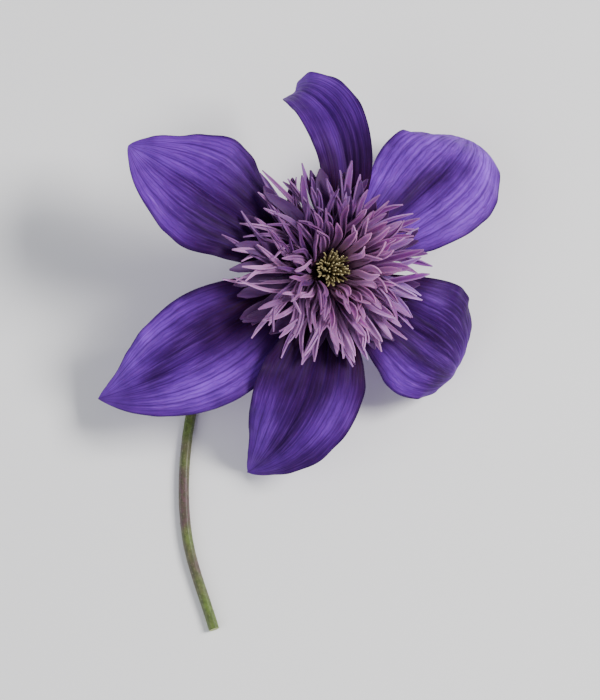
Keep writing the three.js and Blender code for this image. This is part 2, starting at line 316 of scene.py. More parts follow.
# Lengths are in mm and angles in degrees, and a pair runs from the foot to the tip. A light spot is painted
# light and a dark spot painted shade; each is its share of the length, its share of the half width, its span
# each way and its strength.
sepals = {
    "sepalUpperLeft": {
        "node": "sepal_upper_left", "rests": False, "seat": 160, "seatRadius": 3.4, "depth": 1.2,
        "heading": 149.5, "turn": -12, "turnPower": 2, "pitch": (25, -66), "droop": 1.9,
        "length": 38.6, "width": 21.2, "shoulder": 0.88, "bluntness": 0.92, "wave": 0.9, "wavePhase": 0.3,
        "claw": 0.5, "ease": (0, 0.3), "roll": (14, 3), "cup": (6, 15),
        "light": [(0.95, 0.1, 0.24, 0.9, 0.95), (0.68, 0.75, 0.14, 0.3, 0.3), (0.62, -0.7, 0.2, 0.34, 0.5)],
        "dark": [
            (0.58, 0.08, 0.2, 0.14, 0.8), (0.52, 0.45, 0.16, 0.28, 0.6), (0.42, -0.9, 0.14, 0.4, 0.7),
            (0.36, 0.2, 0.14, 1.2, 0.75),
        ],
    },
    "sepalTop": {
        "node": "sepal_top", "rests": False, "seat": 86, "seatRadius": 3.7, "depth": 1.2,
        "heading": 66.6, "turn": 98, "turnPower": 1.23, "pitch": (31, -122), "droop": 1.97,
        "length": 39.6, "width": 10.8, "shoulder": 1.06, "bluntness": 0.67, "wave": 0.3, "wavePhase": 1.3,
        "claw": 0.28, "ease": (0.12, 0.5), "roll": (-45, 21), "cup": (60, 20),
        "light": [(0.74, -0.8, 0.14, 0.3, 0.35), (0.55, 0.2, 0.3, 0.12, 0.25), (0.86, 0, 0.05, 1, 0.4)],
        "dark": [(0.72, 0.65, 0.2, 0.35, 0.5), (0.5, -0.35, 0.12, 0.16, 0.4), (0.6, 0, 0.4, 0.1, 0.35)],
    },
    "sepalUpperRight": {
        "node": "sepal_upper_right", "rests": True, "seat": 29, "seatRadius": 3.4, "depth": 1.6,
        "heading": 40, "turn": 12, "turnPower": 2, "pitch": (22, -86), "droop": 1.38,
        "length": 41.8, "width": 21.8, "shoulder": 0.89, "bluntness": 0.61, "wave": 0.7, "wavePhase": 2.2,
        "claw": 0.52, "ease": (0, 0.3), "roll": (-3, -20), "cup": (11, -33),
        "light": [
            (0.68, -0.6, 0.24, 0.36, 0.95), (0.56, 0.6, 0.26, 0.4, 0.85), (0.36, -0.6, 0.16, 0.6, 0.8),
            (0.34, 0.8, 0.14, 0.4, 0.8), (0.78, 0, 0.1, 0.7, 0.7),
        ],
        "dark": [
            (0.42, 0.14, 0.12, 0.18, 0.8), (0.53, -0.04, 0.09, 0.13, 0.75), (0.63, -0.3, 0.07, 0.15, 0.6),
        ],
    },
    "sepalLowerRight": {
        "node": "sepal_lower_right", "rests": True, "seat": 327, "seatRadius": 3.4, "depth": 2.6,
        "heading": -32, "turn": -2.5, "turnPower": 2, "pitch": (23, -86), "droop": 1.74,
        "length": 31, "width": 22.2, "shoulder": 0.98, "bluntness": 0.76, "wave": 0.7, "wavePhase": 4,
        "claw": 0.58, "ease": (0, 0.3), "roll": (15, -6.5), "cup": (18, -21.5),
        "light": [(0.53, -0.76, 0.14, 0.22, 0.7), (0.46, 0.55, 0.08, 0.24, 0.3)],
        "dark": [
            (0.6, 0.08, 0.24, 0.22, 0.95), (0.68, 0.85, 0.2, 0.42, 1), (0.6, -0.31, 0.22, 0.12, 0.95),
            (0.76, -0.5, 0.12, 0.5, 0.9), (0.66, 0.4, 0.16, 0.3, 0.8),
        ],
    },
    "sepalBottom": {
        "node": "sepal_bottom", "rests": True, "seat": 270, "seatRadius": 3.4, "depth": 1.2,
        "heading": -97.5, "turn": -46, "turnPower": 1.85, "pitch": (21, -77), "droop": 1.4,
        "length": 37.8, "width": 18.7, "shoulder": 0.77, "bluntness": 1.07, "wave": 0.8, "wavePhase": 0.9,
        "claw": 0.58, "ease": (0, 0.3), "roll": (-11, 6), "cup": (27, 15),
        "light": [(0.5, 0.6, 0.12, 0.25, 0.45), (0.68, -0.56, 0.16, 0.2, 0.35)],
        "dark": [
            (0.6, 0.02, 0.4, 0.23, 0.85), (0.74, 0.8, 0.18, 0.34, 0.75), (0.5, -0.4, 0.14, 0.24, 0.65),
            (0.6, -1, 0.4, 0.12, 0.3), (0.34, -0.3, 0.12, 0.9, 0.5),
        ],
    },
    "sepalLowerLeft": {
        "node": "sepal_lower_left", "rests": False, "seat": 207, "seatRadius": 3.4, "depth": 2.6,
        "heading": -143.3, "turn": -22, "turnPower": 1.96, "pitch": (16, -64.8), "droop": 1.33,
        "length": 42.6, "width": 19.1, "shoulder": 0.83, "bluntness": 0.97, "wave": 0.9, "wavePhase": 5.2,
        "claw": 0.58, "ease": (0, 0.3), "roll": (-6.5, 14), "cup": (20.3, 10.4),
        "light": [(0.54, 0.6, 0.2, 0.4, 0.95), (0.68, -0.76, 0.26, 0.3, 0.95), (0.84, -0.5, 0.12, 0.4, 0.7)],
        "dark": [
            (0.44, -0.42, 0.12, 0.2, 0.7), (0.57, -0.26, 0.1, 0.15, 0.75), (0.68, -0.02, 0.09, 0.16, 0.7),
            (0.78, 0.3, 0.08, 0.3, 0.15),
        ],
    },
}

sepalColours = {
    # darkest base colour: partly the sepals' own darker base, partly painted shade under the tuft
    "root": "#26071f",
    "deep": "#330f48",
    "body": "#4c1c7e",
    "tip": "#6c30aa",
    # the painted light colour of the sepals' light spots
    "light": "#9048e6",
    # the painted shade colour of the sepals' dark spots
    "dark": "#280a3c",
    "streak": "#a05fe8",
    "vein": "#2e0d50",
    "margin": "#1c0630",
    "reverse": "#a890d8",
    "reverseBar": "#946a78",
    "reverseVein": "#5e3a78",
    "sheen": (0.5, 0.22, 1),
}


facePattern = {
    # noise drawn out along the veins: how dense across and along, its scale and its detail
    "broad": (5, 2.4, 1.0, 3),
    "fine": (19, 4, 1.3, 4),
    # the streaks gain strength on the painted light spots
    "streakBase": 0.3,  # how strong the streaks are off the light patches, and how much more on them
    "streakGain": 0.7,
    "clouds": 240,
    "mainVein": 0.03,
    "smallVeins": 13,  # for each half width
    "wander": 420,
    "wanderReach": 1.6,
    "veinStrength": 0.6,
    "cells": 5200,
    "veinRelief": -1.2,
}
reversePattern = {"veinEvery": 0.235, "clouds": 300, "grain": 4200}


def onVeins(tree, aside, places, width):  # 1 on the main veins, which run at these shares of the half width
    nearest = maths(tree, "ABSOLUTE", maths(tree, "SUBTRACT", aside, places[0]))
    for place in places[1:]:
        distance = maths(tree, "ABSOLUTE", maths(tree, "SUBTRACT", aside, place))
        nearest = maths(tree, "MINIMUM", nearest, distance)
    return ramp(tree, nearest, [(0.0, 1.0), (width * 0.4, 0.7), (width, 0.0)])


def sepalFace():
    material, tree, shader = newMaterial("sepalFace", 0.55, 0.06, 0.1, sepalColours["sheen"], 0.05)
    share, across, tone, paintedLight, paintedShade = (
        attributeOf(tree, name) for name in ("share", "across", "tone", "paintedLight", "paintedShade")
    )
    aside = maths(tree, "ABSOLUTE", across)
    colours, pattern = sepalColours, facePattern
    # the colour darkens to maroon towards the foot: partly the sepals' own darker base, partly painted shade
    # where the tuft shades the bases
    lengthwise = ramp(tree, share, [
        (0.26, colours["root"]), (0.42, colours["deep"]), (0.6, colours["body"]), (0.95, colours["tip"]),
    ])
    pastRoot = ramp(tree, share, [(0.3, 0.0), (0.55, 1.0)])
    broadNoise, fineNoise = (
        drawnNoise(tree, [(across, wide), (share, tall), (tone, 1)], scale, detail, 0.6)
        for wide, tall, scale, detail in (pattern["broad"], pattern["fine"])
    )
    # painted light: the light spots, broken up by noise, lighten the face
    paintedLightMask = maths(tree, "MULTIPLY", paintedLight, ramp(tree, broadNoise, [(0.3, 0.35), (0.62, 1.0)]))
    lighterWithPaintedLight = blend(tree, paintedLightMask, lengthwise, colours["light"])
    # painted shade: the dark spots darken the face
    withPaintedShade = blend(tree, paintedShade, lighterWithPaintedLight, colours["dark"])
    streaks = ramp(tree, fineNoise, [(0.5, 0.0), (0.7, 0.6)])
    # the streaks grow stronger under the painted light
    gain = maths(tree, "MULTIPLY_ADD", paintedLight, pattern["streakGain"], pattern["streakBase"])
    amount = maths(tree, "MULTIPLY", maths(tree, "MULTIPLY", streaks, gain), pastRoot)
    streaked = blend(tree, amount, withPaintedShade, colours["streak"])
    lines = ramp(tree, fineNoise, [(0.3, 0.55), (0.46, 1.0)])
    lined = blend(tree, 1.0, streaked, lines, "MULTIPLY")
    clouds = ramp(tree, grainOf(tree, pattern["clouds"], 3), [(0.35, 0.7), (0.62, 1.0)])
    clouded = blend(tree, 1.0, lined, clouds, "MULTIPLY")
    # thin veins: the main ones lie in the grooves, and the small ones wander between them
    grooves = [place for place, depth, width in sepalForm["grooves"]]
    mainVeins = onVeins(tree, aside, grooves, pattern["mainVein"])
    drift = grainOf(tree, pattern["wander"], 2)
    wander = maths(tree, "MULTIPLY", drift, pattern["wanderReach"])
    turned = maths(tree, "MULTIPLY_ADD", across, pattern["smallVeins"], wander)
    smallVeins = ramp(tree, maths(tree, "PINGPONG", turned, 0.5), [(0.0, 0.6), (0.1, 0.35), (0.2, 0.0)])
    finer = clouded
    for veins in (mainVeins, smallVeins):
        onVein = maths(tree, "MULTIPLY", veins, pattern["veinStrength"])
        finer = blend(tree, onVein, finer, colours["vein"])
    onMargin = ramp(tree, aside, [(0.93, 0.0), (0.985, 0.65)])
    edged = blend(tree, onMargin, finer, colours["margin"])
    tree.links.new(edged, shader.inputs["Base Color"])
    cells = grainOf(tree, pattern["cells"], 1)
    relief = maths(tree, "MULTIPLY_ADD", smallVeins, pattern["veinRelief"], cells)
    addBump(tree, shader, relief, 0.35, 0.06)
    return material


def sepalReverse():
    material, tree, shader = newMaterial("sepalReverse", 0.6, 0.2, 0.2, sepalColours["sheen"], 0.08)
    share, across = (attributeOf(tree, name) for name in ("share", "across"))
    aside = maths(tree, "ABSOLUTE", across)
    colours, pattern = sepalColours, reversePattern
    every = pattern["veinEvery"]
    onBar = ramp(tree, aside, [(0.0, 0.9), (0.26, 0.75), (0.36, 0.0)])
    barred = blend(tree, onBar, colours["reverse"], colours["reverseBar"])
    ridge = maths(tree, "PINGPONG", maths(tree, "ADD", aside, every), every)
    onVein = ramp(tree, ridge, [(0.165, 0.0), (every, 0.8)])
    veined = blend(tree, onVein, barred, colours["reverseVein"])
    clouds = ramp(tree, grainOf(tree, pattern["clouds"], 3), [(0.35, 0.8), (0.65, 1.0)])
    tree.links.new(blend(tree, 1.0, veined, clouds, "MULTIPLY"), shader.inputs["Base Color"])
    addBump(tree, shader, grainOf(tree, pattern["grain"], 2), 0.3, 0.06)
    return material


def sepalCourse(sepal, s):
    s = max(s, 0)
    pitch = math.radians(lerp(*sepal["pitch"], s ** sepal["droop"]))
    heading = math.radians(sepal["heading"] + sepal["turn"] * s ** sepal["turnPower"])
    flat = math.cos(pitch)
    tangent = Vector((flat * math.cos(heading), flat * math.sin(heading), math.sin(pitch)))
    return tangent, heading


def midribStations(sepal):
    form = sepalForm
    steps = form["rows"] * form["substeps"]
    stride = (form["bladeShare"] - form["footShare"]) / steps
    at = polar(math.radians(sepal["seat"]), sepal["seatRadius"], -sepal["depth"])
    at += sepalCourse(sepal, 0)[0] * sepal["length"] * form["footShare"]
    stations = []
    for i in range(steps + 1):
        s = form["footShare"] + i * stride
        if i % form["substeps"] == 0:
            stations.append((s, at.copy(), *sepalCourse(sepal, s)))
        at += sepalCourse(sepal, s + stride / 2)[0] * sepal["length"] * stride
    return stations


def halfWidth(sepal, s, radius):
    form = sepalForm
    s = max(s, 0)
    claw = form["clawShare"] * (1 - s) ** form["clawFade"]
    pinch = 1 - form["tipPinch"] * s ** form["tipPinchPower"]
    swell = math.sin(math.pi * s ** sepal["shoulder"]) ** sepal["bluntness"]
    free = 0.5 * sepal["width"] * (claw + swell * pinch)
    room = sepal["claw"] * radius
    power = form["crowding"]
    return (free ** -power + room ** -power) ** (-1 / power)


def sepalRelief(sepal, s, q, half):  # the fine form of the blade, in mm
    form = sepalForm
    seed = sepal["seat"]
    amount = smoothstep(s, *form["reliefIn"]) * (1 - form["reliefLoss"] * smoothstep(s, *form["reliefOut"]))
    grooves = sum(depth * bump((abs(q) - place) * half, width) for place, depth, width in form["grooves"])
    x, y = q * half, s * sepal["length"]
    a, b = form["puckerSpan"]
    c, d = form["crinkleSpan"]
    pucker = form["pucker"] * noise.noise(Vector((x / a, y / b, seed)))
    crinkle = form["crinkle"] * noise.noise(Vector((x / c, y / d, seed + form["crinkleSeed"])))
    side = math.copysign(form["ruffleWanderSide"], q)
    wander = form["ruffleWander"] * noise.noise(Vector((y / form["ruffleWanderSpan"], side, seed)))
    phase = 2 * math.pi * (form["ruffleCount"] * s + wander) + 2 * sepal["wavePhase"] + math.copysign(1, q)
    ruffle = form["ruffle"] * abs(q) ** form["rufflePower"] * math.sin(phase)
    return amount * (pucker + crinkle - grooves + ruffle * math.sin(math.pi * min(max(s, 0), 1)))


def bladePoint(sepal, station, q):
    form = sepalForm
    s, point, tangent, heading = station
    inside = min(max(s, 0), 1)
    ease = smoothstep(s, *sepal["ease"])
    roll = math.radians(lerp(*sepal["roll"], inside)) * ease
    cup = math.radians(lerp(*sepal["cup"], inside)) * ease or 1e-4  # it divides
    level = Vector((-math.sin(heading), math.cos(heading), 0))
    side = Matrix.Rotation(roll, 3, tangent) @ level
    normal = tangent.cross(side)
    half = halfWidth(sepal, s, math.hypot(point.x, point.y))
    fade = math.sin(math.pi * inside ** form["fadePower"])
    lobe = form["lobeRise"] * half * math.sin(math.pi * math.sqrt(q * q + form["lobeRounding"])) * fade
    phase = 2 * math.pi * form["waveCount"] * s + sepal["wavePhase"] + math.copysign(form["waveOffset"], q)
    wave = sepal["wave"] * fade * abs(q) ** form["marginPower"] * math.sin(phase)
    across = half * math.sin(q * cup) / cup
    up = half * (1 - math.cos(q * cup)) / cup + lobe + wave + sepalRelief(sepal, s, q, half)
    return headMatrix @ (point + side * across + normal * up)


def settle(piece):  # bends a blade down until its lowest point is on the surface
    shares = [item.value for item in piece.data.attributes["share"].data]
    for _ in range(sepalForm["settlePasses"]):
        low = min(vertex.co.z for vertex in piece.data.vertices)
        for vertex, share in zip(piece.data.vertices, shares):
            vertex.co.z -= low * share * share


def patches(spots, s, q):  # how strong the soft spots are at a place of the blade, from 0 to 1
    clear = 1.0
    for share, across, tall, wide, strength in spots:
        clear *= 1 - strength * bump(math.hypot((s - share) / tall, (q - across) / wide), 1)
    return 1 - clear


def makeSepal(name, sepal, face, reverse):
    form = sepalForm
    deselectAll()
    bpy.ops.mesh.primitive_grid_add(x_subdivisions=form["columns"], y_subdivisions=form["rows"], size=2)
    blade = bpy.context.object
    blade.name = blade.data.name = name
    stations = midribStations(sepal)
    shares, acrosses = [], []
    wall = blade.vertex_groups.new(name="wall")
    sideFrom, endFrom = form["thinFrom"]
    for vertex in blade.data.vertices:
        q = -vertex.co.x
        station = stations[round((vertex.co.y + 1) / 2 * form["rows"])]
        shares.append(station[0])
        acrosses.append(q)
        thinner = max(smoothstep(abs(q), sideFrom, 1), smoothstep(station[0], endFrom, 1))
        wall.add([vertex.index], 1 - thinner, "REPLACE")
        vertex.co = bladePoint(sepal, station, q) * mm
    setAttribute(blade, "share", shares)
    setAttribute(blade, "across", acrosses)
    setAttribute(blade, "tone", [sepal["seat"]] * len(shares))
    # the light spots are stored as painted light and the dark spots as painted shade
    for mark, spots in (("paintedLight", "light"), ("paintedShade", "dark")):
        setAttribute(blade, mark, [patches(sepal[spots], s, q) for s, q in zip(shares, acrosses)])
    for material in (face, reverse):
        blade.data.materials.append(material)
    applyModifier(
        blade, "SOLIDIFY", thickness=form["thickness"] * mm, offset=0, material_offset=1,
        vertex_group="wall", thickness_vertex_group=form["marginThickness"],
    )
    blade.vertex_groups.clear()
    if sepal["rests"]:
        settle(blade)
    finishPiece(blade, sepal["node"])


def makeSepals():
    face, reverse = sepalFace(), sepalReverse()
    for name, sepal in sepals.items():
        makeSepal(name, sepal, face, reverse)


makeSepals()
print("sepals are modelled")


# Staminodes: one blade is modelled, and each copy is laid along its own curve

tuft = {
    "count": 190,
    "thickness": 0.24,
    "columns": 2,
    "rows": 11,
    "reach": (16.4, 5.6),  # of the outermost and the innermost blade
    "rise": 10.2,
    "domeMargin": 1,  # the dome of tips comes down this far outside the outermost
    "lift": 1.2,
    "rootRadius": (3.6, 2.6),
    "rootHeight": (1.6, 3.0),
    "elbowOut": 0.5,
    "elbowUp": 0.9,
    "elbowLift": 1.2,
    "innerElbowOut": -2.4,
    "innerElbowUp": 1.05,
    "rootWidth": 0.6,
    "width": 1.05,
    "tipWidth": 0.12,
    "widest": 0.62,
    "tipRounding": 2.6,
    "channel": 0.3,
    "azimuthPlay": 7,
    "reachPlay": 1.2,
    "heightPlay": 1.1,
    "swingPlay": 0.3,
    "twistPlay": 1.2,
    "widthPlay": 0.25,
    "sway": 0.5,
    "curl": 2.6,
    "curlShares": (0.35, 0.65),  # what all blades have of it, and what differs
    "curlFrom": 0.6,
    "curlGain": 4,
    # the broader dark blades outside the others
    "outerCount": 38,
    "outerReach": 14.6,
    "outerHeight": 3.4,
    "outerWiden": 2.3,
    "outerAzimuthPlay": 0.3,
    "outerHeightPlay": 0.55,
    "outerTwist": 0.4,
    "looseSide": (190, 75),  # degrees: where the blades are narrow, loose and mottled, and how far each way
    "looseNarrow": 0.28,
    "looseSwing": 0.8,
    "looseCurl": 0.8,
    "loosePale": 0.8,
    "looseDark": 0.75,
    "mottling": (-0.25, 0.05),  # draws below and above these make a blade dark or pale
    # direction and span in degrees, and mm: where outer blades reach further, and the least height of
    # a tip where a sepal rises under it
    "longer": [(182, 34, 2.1), (126, 19, 2.7)],
    "ledges": [(166, 26, 8.4), (135, 14, 6.6), (82, 30, 8.2), (234, 14, 3.8)],
    # blades darkened by painted shade and blades lightened by painted light: direction in degrees, rank from
    # the outside in, how far to each side, how deep, and how strongly
    "deeperWithPaintedShade": [(105, 0.55, 42, 0.5, 0.75), (155, 0.95, 38, 0.4, 0.8), (248, 0.95, 28, 0.3, 0.6)],
    "lighterWithPaintedLight": [
        (5, 1, 50, 0.22, 0.55), (-45, 1, 30, 0.15, 0.4), (-72, 0.25, 32, 0.25, 0.7),
        (-160, 0.2, 50, 0.3, 0.45), (-112, 0.55, 28, 0.2, 0.35),
    ],
}
# the ring that the blades grow from, with the radius and height of its section's corners
tuftCore = {"sides": 40, "section": [(2.2, 0.3), (2.8, 0.3), (4.4, 1.9), (4.1, 2.5), (3.2, 3.4), (2.2, 2.92)]}
tuftColours = {
    "root": "#42144a",
    "low": "#56205e",
    "middle": "#7c3e82",
    "high": "#a050a6",
    "tip": "#b878be",
    "edge": "#cfa0d2",
    "pale": "#b098c4",
    "outer": "#300f40",
    # painted shade colour; also the colour of the loose side's random dark blades
    "deeperWithPaintedShade": "#3c1a58",
    # painted light colour; also the colour of the loose side's random pale blades
    "lighterWithPaintedLight": "#bc86bc",
    # the throat's own brownish colour, made lighter as painted light where the inner roots lie in shade
    "throat": "#7a6450",
    "heart": "#3a1a30",
    "outerTint": "#e4d2ff",
    "innerTint": "#ffd6e6",
    "sheen": (0.8, 0.4, 0.9),
}


def staminodeSkin():
    material, tree, shader = newMaterial("staminodeSkin", 0.5, 0.12, 0.12, tuftColours["sheen"], 0.1)
    share, across, tone, rank = (attributeOf(tree, name) for name in ("share", "across", "tone", "rank"))
    colours = tuftColours
    lengthwise = ramp(tree, share, [
        (0.12, colours["root"]), (0.34, colours["low"]), (0.6, colours["middle"]),
        (0.85, colours["high"]), (1.0, colours["tip"]),
    ])
    # near the inner blades' roots the colour turns to the throat's: partly its own colour, partly painted
    # light over the shade at the blades' feet
    nearRoot = ramp(tree, share, [(0.3, 0.85), (0.62, 0.0)])
    inThroat = maths(tree, "MULTIPLY", nearRoot, ramp(tree, rank, [(0.6, 0.0), (0.95, 1.0)]))
    throated = blend(tree, inThroat, lengthwise, colours["throat"])
    out = ramp(tree, share, [(0.3, 0.0), (0.6, 1.0)])
    onEdge = ramp(tree, maths(tree, "ABSOLUTE", across), [(0.55, 0.0), (0.95, 0.75)])
    edged = blend(tree, maths(tree, "MULTIPLY", onEdge, out), throated, colours["edge"])
    bluish = ramp(tree, maths(tree, "MULTIPLY_ADD", tone, 0.5, 0.5), [(0.45, 0.0), (1.0, 0.6)])
    toned = blend(tree, maths(tree, "MULTIPLY", bluish, out), edged, colours["pale"])
    tint = blend(tree, rank, colours["outerTint"], colours["innerTint"])
    tinted = blend(tree, 1.0, toned, tint, "MULTIPLY")
    along = drawnNoise(tree, [(across, 3), (share, 3), (tone, 40)], 1.5, 3)  # the tone sets the blades apart
    lines = ramp(tree, along, [(0.35, 0.62), (0.6, 1.0)])
    lined = blend(tree, 1.0, tinted, lines, "MULTIPLY")
    depth = ramp(tree, maths(tree, "MULTIPLY_ADD", tone, -0.5, 0.5), [(0.0, 1.0), (1.0, 0.55)])
    deepened = blend(tree, 1.0, lined, depth, "MULTIPLY")
    # painted shade and painted light on the marked blades, together with the loose side's random dark and
    # pale blades
    deeperWithPaintedShade = blend(tree, attributeOf(tree, "deeperWithPaintedShade"), deepened, colours["deeperWithPaintedShade"])
    lighterWithPaintedLight = blend(tree, attributeOf(tree, "lighterWithPaintedLight"), deeperWithPaintedShade, colours["lighterWithPaintedLight"])
    onOuter = maths(tree, "MULTIPLY", attributeOf(tree, "dark"), 0.85)
    tree.links.new(blend(tree, onOuter, lighterWithPaintedLight, colours["outer"]), shader.inputs["Base Color"])
    addBump(tree, shader, grainOf(tree, 4500, 1), 0.2, 0.04)
    return material


def plainSkin(name, colour, roughness):
    material, tree, shader = newMaterial(name, roughness, 0.2)
    clouds = ramp(tree, grainOf(tree, 900, 3), [(0.3, 0.6), (0.7, 1.0)])
    tree.links.new(blend(tree, 1.0, colour, clouds, "MULTIPLY"), shader.inputs["Base Color"])
    addBump(tree, shader, grainOf(tree, 2500, 2), 0.3, 0.05)
    return material


def staminodeWidth(t):
    form = tuft
    if t < form["widest"]:
        return lerp(form["rootWidth"], form["width"], smoothstep(t, 0, form["widest"]))
    past = (t - form["widest"]) / (1 - form["widest"])
    rounding = math.sqrt(max(1 - past ** form["tipRounding"], 0))
    return form["tipWidth"] + (form["width"] - form["tipWidth"]) * rounding


def modelStaminode():  # x across in mm, y from -1 at the root to 1 at the tip, z up in mm
    rows, columns = tuft["rows"], tuft["columns"]
    deselectAll()
    bpy.ops.mesh.primitive_grid_add(x_subdivisions=columns, y_subdivisions=rows, size=2)
    blade = bpy.context.object
    setAttribute(blade, "share", [(vertex.co.y + 1) / 2 for vertex in blade.data.vertices])
    setAttribute(blade, "across", [vertex.co.x for vertex in blade.data.vertices])
    pickVertices(blade, lambda co: abs(co.x) < near)
    bpy.ops.transform.translate(value=(0, 0, -tuft["channel"]))
    setMode("OBJECT")
    for row in range(rows + 1):
        y = 2 * row / rows - 1
        width = staminodeWidth(row / rows)
        pickVertices(blade, lambda co: abs(co.y - y) < near)
        bpy.ops.transform.resize(value=(width / 2, 1, width / tuft["width"]))
        setMode("OBJECT")
    return blade


def apart(azimuth, toward):  # degrees between two directions
    return abs((azimuth - toward + 180) % 360 - 180)


def looseness(azimuth):
    toward, span = tuft["looseSide"]
    return bump(apart(math.degrees(azimuth), toward), span)


def sideValues(spots, azimuth):  # what each spot gives in a direction
    return [value * bump(apart(math.degrees(azimuth), toward), span) for toward, span, value in spots]


def staminodeCourse(k):
    form = tuft
    outermost, innermost = form["reach"]
    if k < form["count"]:
        rank = k / (form["count"] - 1)
        azimuth = k * goldenAngle + math.radians(form["azimuthPlay"]) * scatter(k, 1)
        tipRadius = math.sqrt(lerp(outermost ** 2, innermost ** 2, rank)) + form["reachPlay"] * scatter(k, 2)
        dome = form["rise"] * math.sqrt(max(1 - (tipRadius / (outermost + form["domeMargin"])) ** 2, 0))
        tipHeight = dome + form["lift"] + form["heightPlay"] * scatter(k, 3)
    else:
        rank = 0
        azimuth = 2 * math.pi * (k + form["outerAzimuthPlay"] * scatter(k, 1)) / form["outerCount"]
        tipRadius = form["outerReach"] + form["reachPlay"] * scatter(k, 2)
        tipHeight = form["outerHeight"] + form["outerHeightPlay"] * scatter(k, 3)
    swing = form["swingPlay"] * (1 + form["looseSwing"] * looseness(azimuth))
    tipAzimuth = azimuth + swing * scatter(k, 4)
    tipRadius += (1 - rank) ** 2 * sum(sideValues(form["longer"], tipAzimuth))
    tipHeight = max(tipHeight, *sideValues(form["ledges"], tipAzimuth))
    elbowRadius = lerp(form["elbowOut"] * tipRadius, tipRadius + form["innerElbowOut"], rank)
    outerElbow, innerElbow = form["elbowUp"] * tipHeight + form["elbowLift"], form["innerElbowUp"] * tipHeight
    ends = (
        polar(azimuth, lerp(*form["rootRadius"], rank), lerp(*form["rootHeight"], rank)),
        polar(azimuth, elbowRadius, lerp(outerElbow, innerElbow, rank)),
        polar(tipAzimuth, tipRadius, tipHeight),
    )
    return ends, polar(azimuth + math.pi / 2, 1, 0), rank


def sidePatches(spots, azimuth, rank):  # how strong the patches of colour are on one blade
    clear = 1.0
    for toward, depth, span, deep, strength in spots:
        clear *= 1 - strength * bump(math.hypot(apart(azimuth, toward) / span, (rank - depth) / deep), 1)
    return 1 - clear


def layStaminode(model, k):
    form = tuft
    outer = k >= form["count"]
    ends, side, rank = staminodeCourse(k)
    blade = copyOf(model)
    twist = form["twistPlay"] * scatter(k, 5) * (form["outerTwist"] if outer else 1)
    azimuth = math.atan2(ends[2].y, ends[2].x)
    loose = 0 if outer else looseness(azimuth)
    widen = (1 + form["widthPlay"] * scatter(k, 6)) * (form["outerWiden"] if outer else 1)
    widen *= 1 - form["looseNarrow"] * loose
    steady, uneven = form["curlShares"]
    curl = form["curl"] * (steady + uneven * scatter(k, 7)) * (1 + form["looseCurl"] * loose)
    for vertex in blade.data.vertices:
        x, y, z = vertex.co
        t = (y + 1) / 2
        point, tangent = bezier(ends, t)
        across = Matrix.Rotation(twist * t, 3, tangent) @ side
        out = tangent.cross(across).normalized()
        sway = form["sway"] * scatter(k, 8) * math.sin(2 * math.pi * t)
        hook = curl * max(t - form["curlFrom"], 0) ** 2 * form["curlGain"]
        vertex.co = (headMatrix @ (point + across * (x * widen + sway) + out * (z + hook))) * mm
    draw = scatter(k, 10)
    darkBelow, paleAbove = form["mottling"]
    toward = math.degrees(azimuth)
    # the patches are painted shade and painted light; the random draw below adds dark and pale mottling on
    # the loose side
    deeperWithPaintedShade, lighterWithPaintedLight = (sidePatches(form[spots], toward, rank) for spots in ("deeperWithPaintedShade", "lighterWithPaintedLight"))
    darkness = form["looseDark"] * loose if draw < darkBelow else 0
    paleness = form["loosePale"] * loose * (1 - deeperWithPaintedShade) if draw > paleAbove else 0
    marks = {
        "tone": scatter(k, 9), "rank": rank, "dark": 1 if outer else 0,
        "deeperWithPaintedShade": max(deeperWithPaintedShade, darkness), "lighterWithPaintedLight": max(lighterWithPaintedLight, paleness),
    }
    for name, value in marks.items():
        setAttribute(blade, name, [value] * len(blade.data.vertices))
    return blade


def turnedRing(section, sides):  # a closed section, spun round the head's axis
    deselectAll()
    bpy.ops.mesh.primitive_circle_add(vertices=len(section), radius=1, fill_type="NOTHING")
    ring = bpy.context.object
    for vertex, (radius, height) in zip(ring.data.vertices, section):
        vertex.co = (radius, 0, height)
    setMode("EDIT")
    bpy.ops.mesh.select_all(action="SELECT")
    bpy.ops.mesh.spin(steps=sides, angle=2 * math.pi, center=(0, 0, 0), axis=(0, 0, 1))
    bpy.ops.mesh.select_all(action="SELECT")
    bpy.ops.mesh.remove_doubles(threshold=0.001)
    bpy.ops.mesh.normals_make_consistent(inside=False)
    setMode("OBJECT")
    for vertex in ring.data.vertices:
        vertex.co = (headMatrix @ vertex.co) * mm
    return ring


def makeStaminodes():
    model = modelStaminode()
    blades = [layStaminode(model, k) for k in range(tuft["count"] + tuft["outerCount"])]
    bpy.data.objects.remove(model)
    tuftPiece = joinPieces(blades, "staminodeTuft")
    tuftPiece.data.materials.append(staminodeSkin())
    applyModifier(tuftPiece, "SOLIDIFY", thickness=tuft["thickness"] * mm, offset=0)
    core = turnedRing(tuftCore["section"], tuftCore["sides"])
    core.data.materials.append(plainSkin("tuftHeart", tuftColours["heart"], 0.7))
    piece = joinPieces([tuftPiece, core], "staminodeTuft")
    finishPiece(piece, "staminodes")


makeStaminodes()
print("staminodes are modelled")


# Pistils

knot = {
    "count": 84,
    "domeRadius": 1.9,
    "bottom": 0.3,
    "domeHeight": 2.4,
    "height": 7.0,
    "spread": 3.0,
    "sides": 6,
    "rows": 7,
    "rootWidth": 0.38,
    "tipWidth": 0.24,
    "knob": 1.2,  # how much the tip swells
    "play": 0.6,
    "edgeDrop": 0.12,  # how much shorter the outermost styles are
    "footPlay": 0.3,  # of the azimuth at the foot and at the tip
    "tipPlay": 0.5,
    "footSpread": 0.7,  # of the dome's radius at the foot and halfway up
    "middleSpread": 0.8,
    "footRise": 0.6,
    "middleRise": 0.6,  # of the height
    "domeSides": 24,
    "domeRings": 12,
}
knotColours = {"root": "#55472e", "middle": "#8c7a56", "tip": "#b4a878", "dome": "#4c4030"}


